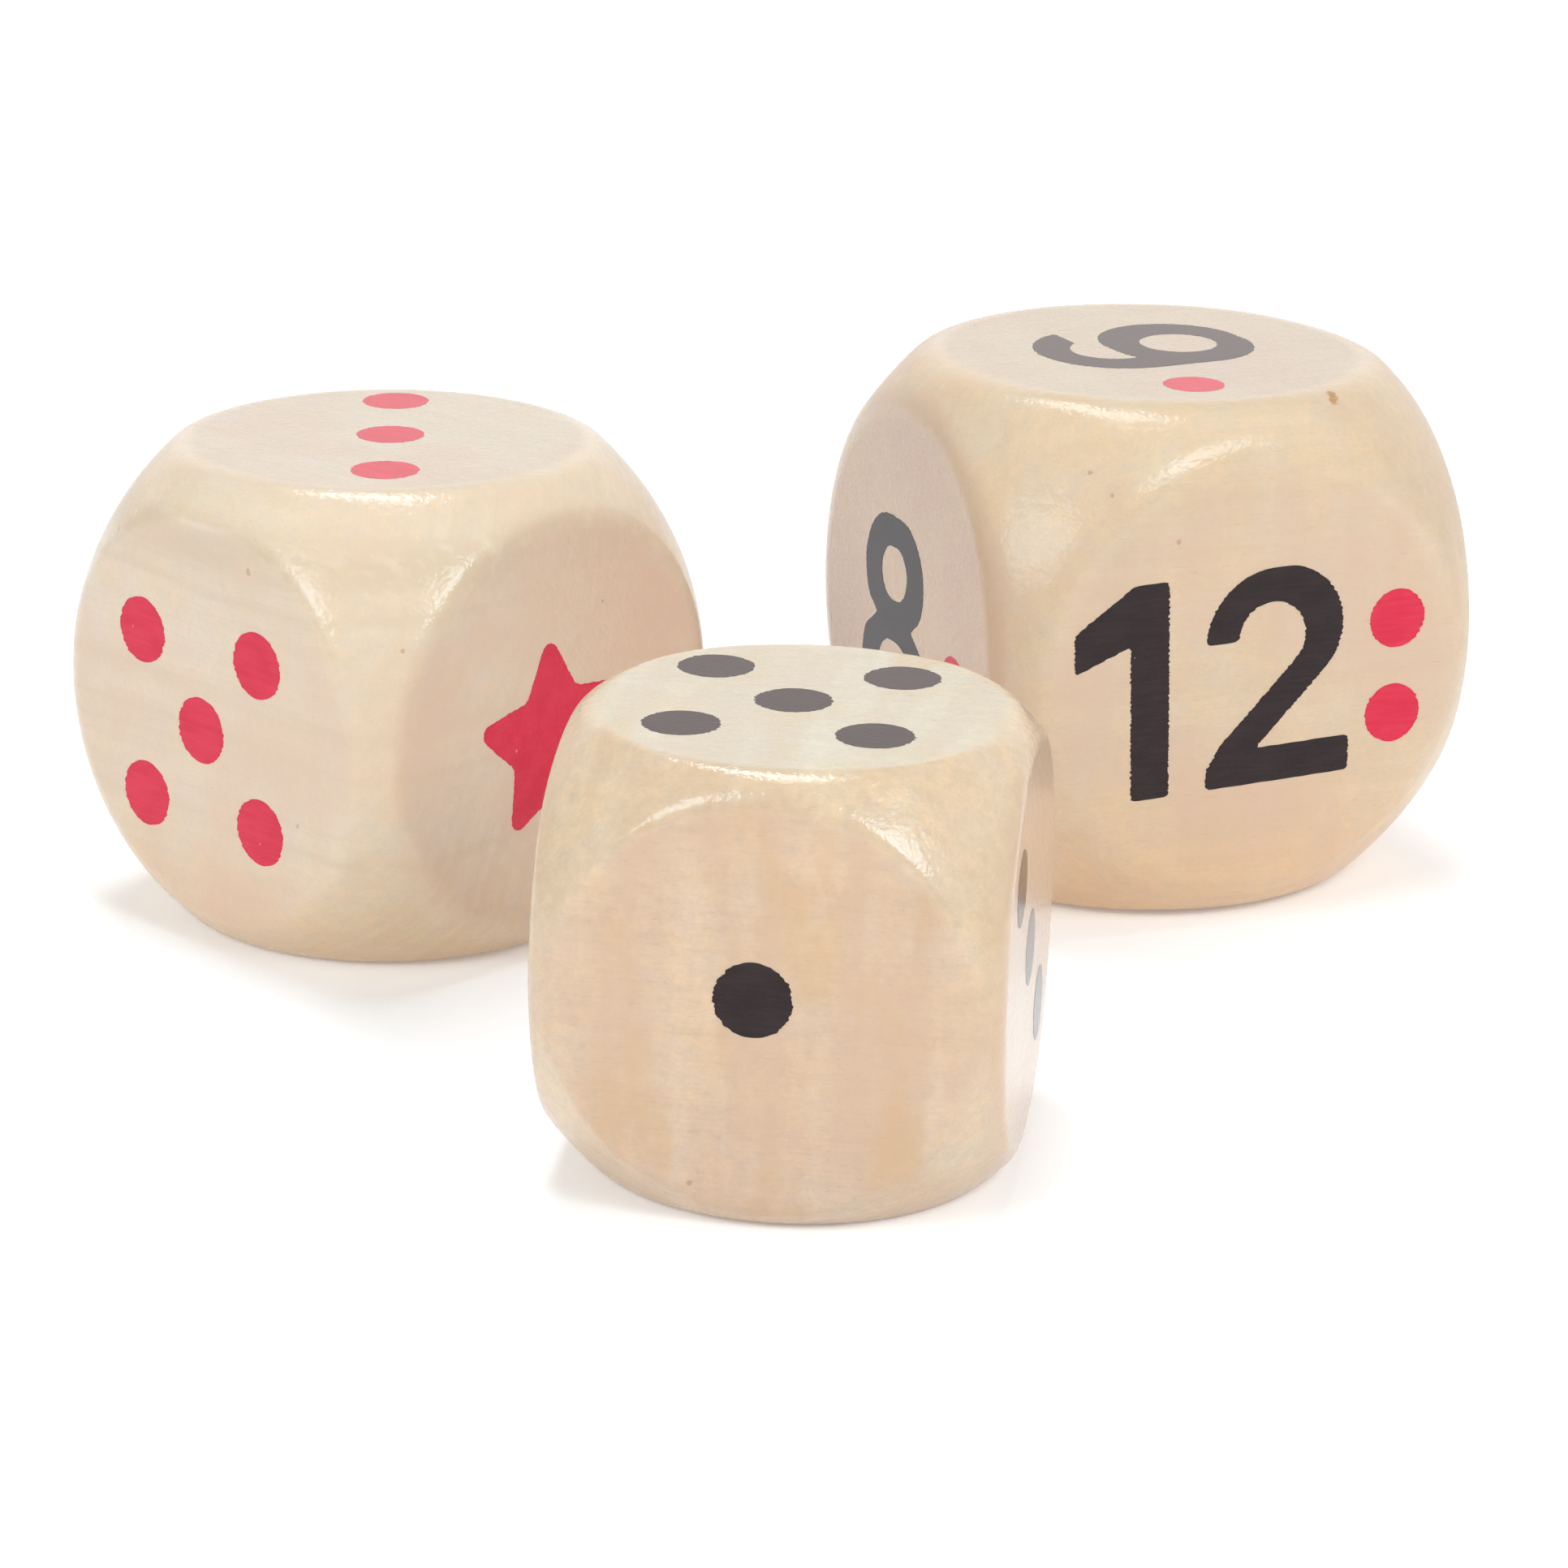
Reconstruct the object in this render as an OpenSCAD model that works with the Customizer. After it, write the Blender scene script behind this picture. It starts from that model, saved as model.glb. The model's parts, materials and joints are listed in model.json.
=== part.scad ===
// Three loose wooden yard dice: a small pip die, a star die and a number die.
// Each die is a solid block: a cube whose edges and corners are turned off to a ball, so that
// six round flats are left. Every print is ink let in flush with its flat.
// The origin is the centre of the flat that the small die stands on. +Z is up, and the small
// die's one faces -Y, turned by small_turn.

/* [Small die] */
// Distance between opposite flats
small_side = 77; // [75:0.5:95]
// How far each round flat stays short of the cube's edges
small_edge_inset = 5.3; // [4.6:0.1:6.5]
// Radius of the rim where a flat meets the ball
small_rim_r = 4; // [1.5:0.1:4.5]
// Diameter of a pip
small_pip_d = 12.8; // [8:0.1:14]
// Distance between the outer pips of a two to a six
small_pitch = 31.4; // [29:0.1:32.6]
// Turn about the upright axis
small_turn = -9.1; // [-45:0.1:45]

/* [Star die] */
// Distance between opposite flats
star_side = 90; // [87:0.5:110]
// How far each round flat stays short of the cube's edges
star_edge_inset = 8.7; // [6.5:0.1:9.6]
// Radius of the rim where a flat meets the ball
star_rim_r = 6; // [1.5:0.1:6.4]
// Diameter of a pip
star_pip_d = 12.6; // [8:0.1:14]
// Distance between the outer pips of the four, the five and the six
star_pitch = 31.6; // [29:0.1:36]
// Distance between the outer pips of the two and the three
star_diagonal_pitch = 36.4; // [29:0.1:38]
// Reach of the star's five arms, up to their rounded tips
star_reach = 18.4; // [15:0.1:24]
// Radius at the five notches between the arms
star_notch_r = 10.6; // [8:0.1:13]
// Radius that rounds each tip
star_tip_r = 1.9; // [0.8:0.1:2.4]
// Place of the star die's standing flat, from the small die's
star_place = [-77.7, 117.7]; // [-150:0.1:150]
// Turn about the upright axis
star_turn = 47.7; // [-90:0.1:90]

/* [Number die] */
// Distance between opposite flats
number_side = 100; // [99:0.5:120]
// How far each round flat stays short of the cube's edges
number_edge_inset = 10.8; // [10.4:0.1:11.3]
// Radius of the rim where a flat meets the ball
number_rim_r = 10.2; // [2:0.1:10.3]
// Diameter of the red dots
dot_d = 11.6; // [8:0.1:12.5]
// Distance between the two dots of a pair
dot_pitch = 18.7; // [15:0.1:20]
// Place of the number die's standing flat, from the small die's
number_place = [66.2, 156.2]; // [-150:0.1:150]
// Turn about the upright axis
number_turn = 21.6; // [-90:0.1:90]

/* [Numerals] */
// Height of a numeral
num_h = 42; // [40:0.1:44]
// Width of a nought, a two and a seven
num_w = 28.5; // [27:0.1:30]
// Width of an upright stroke
stem_w = 7.8; // [6:0.1:8.4]
// Width of a level stroke
bar_w = 6.6; // [5:0.1:7.4]
// Width of a one, with its flag
one_w = 19.2; // [17:0.1:20]
// Gap between two numerals side by side
num_gap = 7.6; // [5:0.1:9]
// How much larger the numerals that stand alone are
single_scale = 1.04; // [1:0.01:1.1]

/* [Ink] */
// How deep the ink is let into the wood
ink_depth = 0.4; // [0.2:0.1:1]

/* [Hidden] */
$fn = 96;
// How far a pocket's cutter stands proud of the flat, so that it opens cleanly
cutter_proud = 1;
wood = "#ecd9b4";
black_ink = "#2b2527";
red_ink = "#cf2f45";

// ---- placing ----

// Turns that bring a print, drawn upright in the XY plane, onto one side of a die
function side_turn(side) =
    side == "front" ? [90, 0, 0] :
    side == "right" ? [90, 0, 90] :
    side == "back" ? [90, 0, 180] :
    side == "left" ? [90, 0, 270] :
    side == "top" ? [0, 0, 0] : [180, 0, 0];

// Stands a die, drawn about its own centre, on the ground at its place and turn
module stand(width, place, turn) {
    translate([place[0], place[1], width / 2]) rotate([0, 0, turn]) children();
}

// Extrudes a flat drawing into ink of the stated depth, flush with one side of a die.
// shift and tilt place the print on the flat, as seen from outside, and proud lengthens it
// outwards into a cutter.
module print_on(side, width, shift, tilt, proud) {
    rotate(side_turn(side))
        translate([shift[0], shift[1], width / 2 - ink_depth])
            rotate([0, 0, tilt])
                linear_extrude(ink_depth + proud) children();
}

// ---- the wooden block ----

// Half outline of a disc with two flats, a ball-shaped edge and a rim between them
module disc_outline(width, edge_inset, rim_r) {
    rim_x = width / 2 - edge_inset;
    rim_z = width / 2 - rim_r;
    ball_r = rim_r + norm([rim_x, rim_z]);
    touch_z = ball_r * rim_z / (ball_r - rim_r);
    intersection() {
        circle(ball_r);
        translate([0, -touch_z]) square([ball_r, 2 * touch_z]);
    }
    translate([0, -width / 2]) square([rim_x, width]);
    for (end = [-1, 1])
        intersection() {
            translate([rim_x, end * rim_z]) circle(rim_r);
            translate([rim_x, -width / 2]) square([rim_r, width]);
        }
}

// Block with six flats: what three such discs, one along each axis, have in common. Each disc
// is first turned about its own axis, so that its seam lies under a corner of the cube.
module block(width, edge_inset, rim_r) {
    intersection_for (lie = [[0, 0, 0], [90, 0, 0], [0, 90, 0]])
        rotate(lie) rotate(45) rotate_extrude() disc_outline(width, edge_inset, rim_r);
}

// ---- pips and the star ----

// A point turned about the origin
function turned(point, angle) = [
    point[0] * cos(angle) - point[1] * sin(angle),
    point[0] * sin(angle) + point[1] * cos(angle)
];

// Pips of the numbers 1 to 6. The diagonal of a 2 and a 3 runs up to the right when rise is 1
// and down to the right when it is -1.
module pips(count, pip_d, pitch, rise = 1) {
    half = pitch / 2;
    diagonal = [[-half, -half * rise], [half, half * rise]];
    corners = [for (x = [-half, half], y = [-half, half]) [x, y]];
    middle = [[0, 0]];
    waist = [[-half, 0], [half, 0]];
    spots =
        count == 1 ? middle :
        count == 2 ? diagonal :
        count == 3 ? concat(diagonal, middle) :
        count == 4 ? corners :
        count == 5 ? concat(corners, middle) : concat(corners, waist);
    for (spot = spots)
        translate(spot) circle(d = pip_d);
}

// Five-pointed star with rounded tips
module star() {
    // One arm along +X: its rounded tip, the notch beside it, and the straight edge between.
    // spread is how far round the tip goes before it meets that edge.
    tip = [star_reach - star_tip_r, 0];
    notch = star_notch_r * [cos(36), sin(36)];
    edge = notch - tip;
    spread = 90 - atan2(edge[1], -edge[0]) + asin(star_tip_r / norm(edge));
    round = [for (step = [-4:4]) tip + star_tip_r * [cos(spread * step / 4), sin(spread * step / 4)]];
    polygon([for (arm = [0:4], point = concat(round, [notch])) turned(point, 90 + arm * 72)]);
}

// ---- numerals, each with its lower left corner at the origin ----

// Oval with two round ends and two straight sides, about the point given
module oval(middle, width, height) {
    turn_r = min(width, height) / 2;
    reach = [max(width - height, 0) / 2, max(height - width, 0) / 2];
    straight = width > height ? [2 * reach[0], height] : [width, 2 * reach[1]];
    translate(middle) {
        translate(reach) circle(turn_r);
        translate(-reach) circle(turn_r);
        if (width != height)
            square(straight, center = true);
    }
}

module nought() {
    middle = [num_w / 2, num_h / 2];
    difference() {
        oval(middle, num_w, num_h);
        oval(middle, num_w - 2 * stem_w, num_h - 2 * bar_w);
    }
}

module one() {
    // The flag's cut end, from its lower to its upper corner, and where it meets the stem
    flag_end = [num_h - 15.8, num_h - 8];
    flag_root_y = num_h - 11.5;
    stem_shoulder = one_w - stem_w + 0.8;
    polygon([
        [one_w - stem_w, 0], [one_w, 0], [one_w, num_h], [stem_shoulder, num_h],
        [0, flag_end[1]], [0, flag_end[0]], [one_w - stem_w, flag_root_y]
    ]);
}

// Point of a circle that a line touches, below it and to its right, when the line rises at
// the stated angle
function touch_below(middle, radius, angle) = middle + radius * [sin(angle), -cos(angle)];

module two() {
    slope = 44;
    // The big turn shapes the left, the small turn the right, and the eye is the opening
    big_r = num_w / 2;
    small_r = big_r - 1.95;
    big = [big_r, num_h - big_r];
    small = [num_w - small_r, num_h - small_r];
    eye_r = big_r - stem_w + 0.5;
    eye = [num_w - stem_w - eye_r, num_h - bar_w - eye_r];
    cut_y = big[1] + 0.7;
    outer_touch = touch_below(small, small_r, slope);
    inner_touch = touch_below(eye, eye_r, slope);
    foot_h = bar_w + 0.4;
    heel_y = 3.5;
    inner_run = inner_touch - [1, tan(slope)] * (inner_touch[0] - 3);
    outer_run = outer_touch - [1 / tan(slope), 1] * (outer_touch[1] - foot_h);
    difference() {
        union() {
            intersection() {
                translate(big) circle(big_r);
                square([big_r, num_h]);
            }
            translate(small) circle(small_r);
            translate([big_r, big[1]]) square([small[0] - big_r, big_r]);
        }
        translate(eye) circle(eye_r);
        polygon([[-1, cut_y], [eye[0], cut_y], inner_touch, inner_run, [-1, inner_run[1]]]);
    }
    polygon([
        [0, 0], [num_w + 1.5, 0], [num_w + 1.5, foot_h], outer_run, outer_touch,
        inner_touch, inner_run, [0, heel_y]
    ]);
}

module seven() {
    foot_x = 5;
    polygon([
        [foot_x, 0], [foot_x + stem_w + 0.6, 0], [num_w, num_h - bar_w], [num_w, num_h],
        [0, num_h], [0, num_h - bar_w], [num_w - stem_w - 0.6, num_h - bar_w]
    ]);
}

module eight() {
    // Two lobes that share the middle stroke, with a waist cut in on both sides
    low_w = num_w + 1.5;
    low_h = num_h * 0.58;
    top_w = num_w - 1;
    top_h = num_h * 0.54;
    low = [low_w / 2, low_h / 2];
    top = [low_w / 2, num_h - top_h / 2];
    waist_y = num_h / 2 + 0.8;
    waist_half = stem_w;
    difference() {
        union() {
            oval(low, low_w, low_h);
            oval(top, top_w, top_h);
        }
        oval(low, low_w - 2 * stem_w, low_h - 2 * bar_w + 0.6);
        oval(top + [0, 0.4], top_w - 2 * stem_w, top_h - 2 * bar_w + 0.8);
        for (hand = [-1, 1])
            translate([low[0], waist_y])
                polygon([[hand * waist_half, 0], [hand * low_w, 14], [hand * low_w, -14]]);
    }
}

module nine() {
    // A bowl, and a hook that runs on from its right side and is cut level at its end
    wide = num_w + 2.5;
    bowl_h = num_h * 0.65;
    bowl = [wide / 2, num_h - bowl_h / 2];
    hook_r = wide / 2;
    hook = [wide / 2, hook_r];
    hook_eye_r = hook_r - stem_w - 0.1;
    hook_eye = [wide - stem_w - hook_eye_r, bar_w + hook_eye_r];
    cut_y = num_h / 4;
    difference() {
        oval(bowl, wide, bowl_h);
        oval(bowl + [0.4, 0.3], wide - 2 * stem_w - 0.8, bowl_h - 2 * bar_w + 0.6);
    }
    translate([wide - stem_w, hook[1]]) square([stem_w, bowl[1] - hook[1]]);
    difference() {
        translate(hook) circle(hook_r);
        translate(hook_eye) circle(hook_eye_r);
        translate([-1, cut_y]) square([hook_eye[0] + 1, num_h]);
        translate([hook_eye[0], hook_eye[1]]) square([hook_eye_r, num_h]);
    }
}

// Two numerals side by side, centred. The tens are always a one.
module pair() {
    translate([-(one_w + num_gap + num_w) / 2, -num_h / 2]) {
        one();
        translate([one_w + num_gap, 0]) children();
    }
}

// One numeral by itself, centred and a little larger
module single(width) {
    scale(single_scale) translate([-width / 2, -num_h / 2]) children();
}

// One red dot, or two above each other
module dots(count) {
    for (place = count == 1 ? [0] : [-dot_pitch / 2, dot_pitch / 2])
        translate([0, place]) circle(d = dot_d);
}

// ---- the small die, about its own centre. Opposite faces add up to seven. ----

module small_pips(count, side, shift, proud, rise = 1) {
    print_on(side, small_side, shift, 0, proud) pips(count, small_pip_d, small_pitch, rise);
}
module small_one_ink(proud = 0) { small_pips(1, "front", [-1.2, 1.5], proud); }
module small_two_ink(proud = 0) { small_pips(2, "bottom", [0, 0.8], proud); }
module small_three_ink(proud = 0) { small_pips(3, "right", [-0.6, -0.4], proud, rise = -1); }
module small_four_ink(proud = 0) { small_pips(4, "left", [0.7, 0.5], proud); }
module small_five_ink(proud = 0) { small_pips(5, "top", [-1.9, 1.9], proud); }
module small_six_ink(proud = 0) { small_pips(6, "back", [0.5, -0.8], proud); }

module small_die_wood() {
    difference() {
        block(small_side, small_edge_inset, small_rim_r);
        small_one_ink(cutter_proud);
        small_two_ink(cutter_proud);
        small_three_ink(cutter_proud);
        small_four_ink(cutter_proud);
        small_five_ink(cutter_proud);
        small_six_ink(cutter_proud);
    }
}

// ---- the star die, about its own centre. The star takes the place of the one. ----

module star_pips(count, side, shift, pitch, proud) {
    print_on(side, star_side, shift, 0, proud) pips(count, star_pip_d, pitch);
}
module star_star_ink(proud = 0) {
    print_on("front", star_side, [-1, -3], 3.5, proud) star();
}
module star_two_ink(proud = 0) {
    star_pips(2, "right", [0.6, 0.9], star_diagonal_pitch, proud);
}
module star_three_ink(proud = 0) {
    star_pips(3, "top", [1.9, 1.2], star_diagonal_pitch, proud);
}
module star_four_ink(proud = 0) { star_pips(4, "bottom", [-0.8, 0.5], star_pitch, proud); }
module star_five_ink(proud = 0) { star_pips(5, "left", [-2, -2.5], star_pitch, proud); }
module star_six_ink(proud = 0) { star_pips(6, "back", [1.1, -0.7], star_pitch, proud); }

module star_die_wood() {
    difference() {
        block(star_side, star_edge_inset, star_rim_r);
        star_star_ink(cutter_proud);
        star_two_ink(cutter_proud);
        star_three_ink(cutter_proud);
        star_four_ink(cutter_proud);
        star_five_ink(cutter_proud);
        star_six_ink(cutter_proud);
    }
}

// ---- the number die, about its own centre. Opposite faces add up to nineteen. ----

module numeral_on(side, shift, tilt, proud) {
    print_on(side, number_side, shift, tilt, proud) children();
}
module dots_on(count, side, shift, proud) {
    print_on(side, number_side, shift, 0, proud) dots(count);
}
module seven_ink(proud = 0) {
    numeral_on("back", [-4.6, -1], -1, proud) single(num_w) seven();
}
module eight_ink(proud = 0) {
    numeral_on("left", [-5.4, -2.4], 1, proud) single(num_w + 1.5) eight();
}
module nine_ink(proud = 0) {
    numeral_on("top", [0, 3.8], -85, proud) single(num_w + 2.5) nine();
}
module ten_ink(proud = 0) { numeral_on("bottom", [-9, 1], 1.5, proud) pair() nought(); }
module eleven_ink(proud = 0) { numeral_on("right", [-8, 0.5], -1.5, proud) pair() one(); }
module twelve_ink(proud = 0) { numeral_on("front", [-9.2, -1.6], 2.3, proud) pair() two(); }
module seven_dot_ink(proud = 0) { dots_on(1, "back", [24.5, -4.5], proud); }
module eight_dot_ink(proud = 0) { dots_on(1, "left", [23.8, -6], proud); }
module nine_dot_ink(proud = 0) { dots_on(1, "top", [-4, -27.3], proud); }
module ten_dots_ink(proud = 0) { dots_on(2, "bottom", [one_w + num_gap + 2.2, 0], proud); }
module eleven_dots_ink(proud = 0) { dots_on(2, "right", [one_w + num_gap + 2.2, -1], proud); }
module twelve_dots_ink(proud = 0) { dots_on(2, "front", [one_w + num_gap + 2.8, -1.7], proud); }

module number_die_wood() {
    difference() {
        block(number_side, number_edge_inset, number_rim_r);
        seven_ink(cutter_proud);
        eight_ink(cutter_proud);
        nine_ink(cutter_proud);
        ten_ink(cutter_proud);
        eleven_ink(cutter_proud);
        twelve_ink(cutter_proud);
        seven_dot_ink(cutter_proud);
        eight_dot_ink(cutter_proud);
        nine_dot_ink(cutter_proud);
        ten_dots_ink(cutter_proud);
        eleven_dots_ink(cutter_proud);
        twelve_dots_ink(cutter_proud);
    }
}

// ---- the nodes: each piece coloured and stood in its place ----

module in_small_die(paint) {
    color(paint) stand(small_side, [0, 0], small_turn) children();
}
module in_star_die(paint) {
    color(paint) stand(star_side, star_place, star_turn) children();
}
module in_number_die(paint) {
    color(paint) stand(number_side, number_place, number_turn) children();
}

module small_die_block() { in_small_die(wood) small_die_wood(); }
module small_die_one() { in_small_die(black_ink) small_one_ink(); }
module small_die_two() { in_small_die(black_ink) small_two_ink(); }
module small_die_three() { in_small_die(black_ink) small_three_ink(); }
module small_die_four() { in_small_die(black_ink) small_four_ink(); }
module small_die_five() { in_small_die(black_ink) small_five_ink(); }
module small_die_six() { in_small_die(black_ink) small_six_ink(); }

module star_die_block() { in_star_die(wood) star_die_wood(); }
module star_die_star() { in_star_die(red_ink) star_star_ink(); }
module star_die_two() { in_star_die(red_ink) star_two_ink(); }
module star_die_three() { in_star_die(red_ink) star_three_ink(); }
module star_die_four() { in_star_die(red_ink) star_four_ink(); }
module star_die_five() { in_star_die(red_ink) star_five_ink(); }
module star_die_six() { in_star_die(red_ink) star_six_ink(); }

module number_die_block() { in_number_die(wood) number_die_wood(); }
module number_die_seven() { in_number_die(black_ink) seven_ink(); }
module number_die_eight() { in_number_die(black_ink) eight_ink(); }
module number_die_nine() { in_number_die(black_ink) nine_ink(); }
module number_die_ten() { in_number_die(black_ink) ten_ink(); }
module number_die_eleven() { in_number_die(black_ink) eleven_ink(); }
module number_die_twelve() { in_number_die(black_ink) twelve_ink(); }
module number_die_seven_dot() { in_number_die(red_ink) seven_dot_ink(); }
module number_die_eight_dot() { in_number_die(red_ink) eight_dot_ink(); }
module number_die_nine_dot() { in_number_die(red_ink) nine_dot_ink(); }
module number_die_ten_dots() { in_number_die(red_ink) ten_dots_ink(); }
module number_die_eleven_dots() { in_number_die(red_ink) eleven_dots_ink(); }
module number_die_twelve_dots() { in_number_die(red_ink) twelve_dots_ink(); }

small_die_block();
small_die_one();
small_die_two();
small_die_three();
small_die_four();
small_die_five();
small_die_six();
star_die_block();
star_die_star();
star_die_two();
star_die_three();
star_die_four();
star_die_five();
star_die_six();
number_die_block();
number_die_seven();
number_die_eight();
number_die_nine();
number_die_ten();
number_die_eleven();
number_die_twelve();
number_die_seven_dot();
number_die_eight_dot();
number_die_nine_dot();
number_die_ten_dots();
number_die_eleven_dots();
number_die_twelve_dots();
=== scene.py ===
"""Looks for three loose wooden yard dice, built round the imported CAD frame.

Each block is rebuilt as one smooth skin with slightly uneven rims, each print as an ink film with
the ragged edges that ink has on wood. Materials are procedural and follow the fibre of each block.
"""

import json
import math

import bmesh
import bpy
import numpy as np
from mathutils import Matrix, Vector, noise


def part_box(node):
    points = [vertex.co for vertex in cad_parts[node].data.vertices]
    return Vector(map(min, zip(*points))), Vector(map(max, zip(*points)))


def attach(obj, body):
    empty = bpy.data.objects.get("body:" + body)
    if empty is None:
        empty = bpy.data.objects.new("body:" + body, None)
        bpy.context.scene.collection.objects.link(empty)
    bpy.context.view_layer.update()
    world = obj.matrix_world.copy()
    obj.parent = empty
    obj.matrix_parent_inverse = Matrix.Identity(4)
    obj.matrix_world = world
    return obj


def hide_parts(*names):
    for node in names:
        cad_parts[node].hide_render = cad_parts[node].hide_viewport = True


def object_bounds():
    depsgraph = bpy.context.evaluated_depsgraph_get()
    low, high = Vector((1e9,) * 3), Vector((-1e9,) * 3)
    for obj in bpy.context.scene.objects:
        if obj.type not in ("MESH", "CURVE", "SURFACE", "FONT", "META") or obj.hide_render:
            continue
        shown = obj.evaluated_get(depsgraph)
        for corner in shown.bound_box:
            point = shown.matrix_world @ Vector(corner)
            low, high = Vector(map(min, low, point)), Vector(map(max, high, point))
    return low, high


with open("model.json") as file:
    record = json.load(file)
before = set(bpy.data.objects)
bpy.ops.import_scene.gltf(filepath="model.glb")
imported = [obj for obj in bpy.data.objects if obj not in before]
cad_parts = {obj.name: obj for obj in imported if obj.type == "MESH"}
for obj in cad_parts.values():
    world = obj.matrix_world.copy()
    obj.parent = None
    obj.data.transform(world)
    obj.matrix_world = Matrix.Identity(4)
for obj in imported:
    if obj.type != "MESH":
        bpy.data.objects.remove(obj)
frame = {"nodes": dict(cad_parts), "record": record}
cad_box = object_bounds()

MM = 0.001

# ---- the dice: what the frame doesn't say. Places are in a die's own axes, from its centre ----
# the upper flat, a painted reflection that lightens the ball, and painted light and shade low down
# front_print: the print on the front, from which the die's turn is read
# edge_inset and rim_r: the block's own, as in the CAD. They set the ball
# rim_at_sides and rim_at_corners: the rim's real radius, towards a flat's sides and its corners
# fibre: the axis that the wood's fibres follow, 0 for X and 1 for Y
# pith: where the tree's centre was, on the two axes that come after the fibre's
# light, dark, rosy and amber: the tones of plain wood, darker marks, clouds and stains
# the top, ball and low tints: factors on the tone, all painted light: painted light from above on
# end_grain, figure, mottle and rings: how strong the rosy end grain, the figure across the fibre,
#     the fine mottling and the growth rings are
# late_wood: single dark rings: place and width in mm, on the axis after the fibre's, and strength
# flecks: pin knots and specks: place and size in mm
# seed: sets the die's noises apart from those of the others
DICE = {
    "small_die": {
        "front_print": "small_die_one",
        "edge_inset": 5.3 * MM,
        "rim_r": 4.0 * MM,
        "rim_at_sides": 6.0 * MM,
        "rim_at_corners": 2.4 * MM,
        "fibre": 0,
        "pith": (38 * MM, -120 * MM),
        "light": (0.640, 0.475, 0.335),
        "dark": (0.500, 0.340, 0.215),
        "rosy": (0.570, 0.382, 0.258),
        "amber": (0.575, 0.365, 0.195),
        "top_painted_light": (0.95, 1.17, 1.27),
        "ball_painted_reflection": (1.05, 1.12, 1.13),
        "low_painted_light_and_shade": (0.98, 0.98, 1.02),
        "end_grain": 0.15,
        "figure": 1.0,
        "mottle": 1.35,
        "rings": 0.25,
        "late_wood": [],
        "flecks": [
            (-7, -37.5, 35, 0.7),
            (-35.5, -7, 37, 0.7),
            (-11, -38.5, -30.5, 0.7),
            (24, 38.5, -20, 0.7),
        ],
        "seed": 11.3,
    },
    "star_die": {
        "front_print": "star_die_star",
        "edge_inset": 8.7 * MM,
        "rim_r": 6.0 * MM,
        "rim_at_sides": 6.6 * MM,
        "rim_at_corners": 6.0 * MM,
        "fibre": 1,
        "pith": (-95 * MM, 150 * MM),
        "light": (0.705, 0.582, 0.455),
        "dark": (0.595, 0.465, 0.335),
        "rosy": (0.660, 0.472, 0.345),
        "amber": (0.640, 0.460, 0.300),
        "top_painted_light": (0.84, 0.88, 0.87),
        "ball_painted_reflection": (1.03, 1.05, 1.03),
        "low_painted_light_and_shade": (1.0, 0.94, 0.86),
        "end_grain": 0.1,
        "figure": 0.25,
        "mottle": 0.8,
        "rings": 0.8,
        "late_wood": [(33, 8, 1.0), (25, 2, 0.5), (6, 3, 0.6), (-2, 1.5, 0.5), (-19, 2.5, 0.5)],
        "flecks": [
            (-45, -12, 30.5, 0.9),
            (-44, 25, 31, 0.8),
            (-45, -24, -14.5, 0.6),
            (11.5, -45, 20.5, 0.5),
            (-36, -42.5, 20.5, 0.6),
        ],
        "seed": 4.7,
    },
    "number_die": {
        "front_print": "number_die_twelve",
        "edge_inset": 10.8 * MM,
        "rim_r": 10.2 * MM,
        "rim_at_sides": 10.6 * MM,
        "rim_at_corners": 9.6 * MM,
        "fibre": 0,
        "pith": (150 * MM, -70 * MM),
        "light": (0.660, 0.510, 0.355),
        "dark": (0.545, 0.395, 0.255),
        "rosy": (0.595, 0.415, 0.300),
        "amber": (0.580, 0.410, 0.250),
        "top_painted_light": (0.84, 0.91, 0.94),
        "ball_painted_reflection": (1.03, 1.06, 1.08),
        "low_painted_light_and_shade": (1.12, 1.02, 0.95),
        "end_grain": 0.35,
        "figure": 0.35,
        "mottle": 0.8,
        "rings": 0.45,
        "late_wood": [],
        "flecks": [
            (18.3, -40.9, 48.3, 1.3),
            (18.6, -39.9, 48.8, 1.4),
            (18.9, -38.9, 49.2, 1.3),
            (-17, -50, 26.5, 0.7),
            (-32, -42.5, 39, 0.6),
            (-29.5, -47, 35.5, 0.6),
            (-24, 29.5, 50, 0.5),
        ],
        "seed": 8.1,
    },
}
NUMERALS = "seven eight nine ten eleven twelve".split()

# ---- how the skins are made ----
MERGE = 0.0005 * MM      # points nearer than this are one point
RAYS_PER_SIDE = 48       # rays from a flat's centre to each of its square's four sides
FLAT_RINGS = (0.25, 0.5, 0.75, 0.93, 0.992)  # rings of points on a flat, as shares of its radius
RIM_RINGS = 9            # rings of points round a rim
BALL_RINGS = 9           # rings of points from a rim to the cube's edge
WOOD_DROP = 0.03 * MM    # how far the wood lies under the ink, which is at the CAD's own height
RIM_MEAN = 0.97          # a rim's mean radius, as a share of the stated one
RIM_UNEVEN = 0.16        # share by which a rim's radius wanders round its flat
RIM_LIMIT = 0.98         # share of the widest rim that fits
BALL_UNEVEN = 0.16 * MM  # how far the ball-shaped corners dip
BALL_FADE = math.radians(7)  # turn away from a rim over which the dips set in
INK_DEPTH = 0.2 * MM
INK_NEAR = 0.05 * MM     # a print's outer side lies within this of its flat
EDGE_STEP = 0.22 * MM    # spacing of points on a print's outline
CORNER_PASSES = 24       # smoothing passes, which round the corners of a print
TEETH = 0.35 * MM        # how far ink creeps along the fibres at its edges
TEETH_PITCH = 0.55 * MM
FINE_TEETH = 0.6         # finer teeth on top, as a share of TEETH
FINE_PITCH = 0.4         # and of TEETH_PITCH
FINE_LENGTH = 3 * MM
END_TEETH = 0.5          # teeth on end grain, as a share of TEETH
WOBBLE = 0.10 * MM       # slow wander of a print's outline
WOBBLE_PITCH = 2.6 * MM


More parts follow.
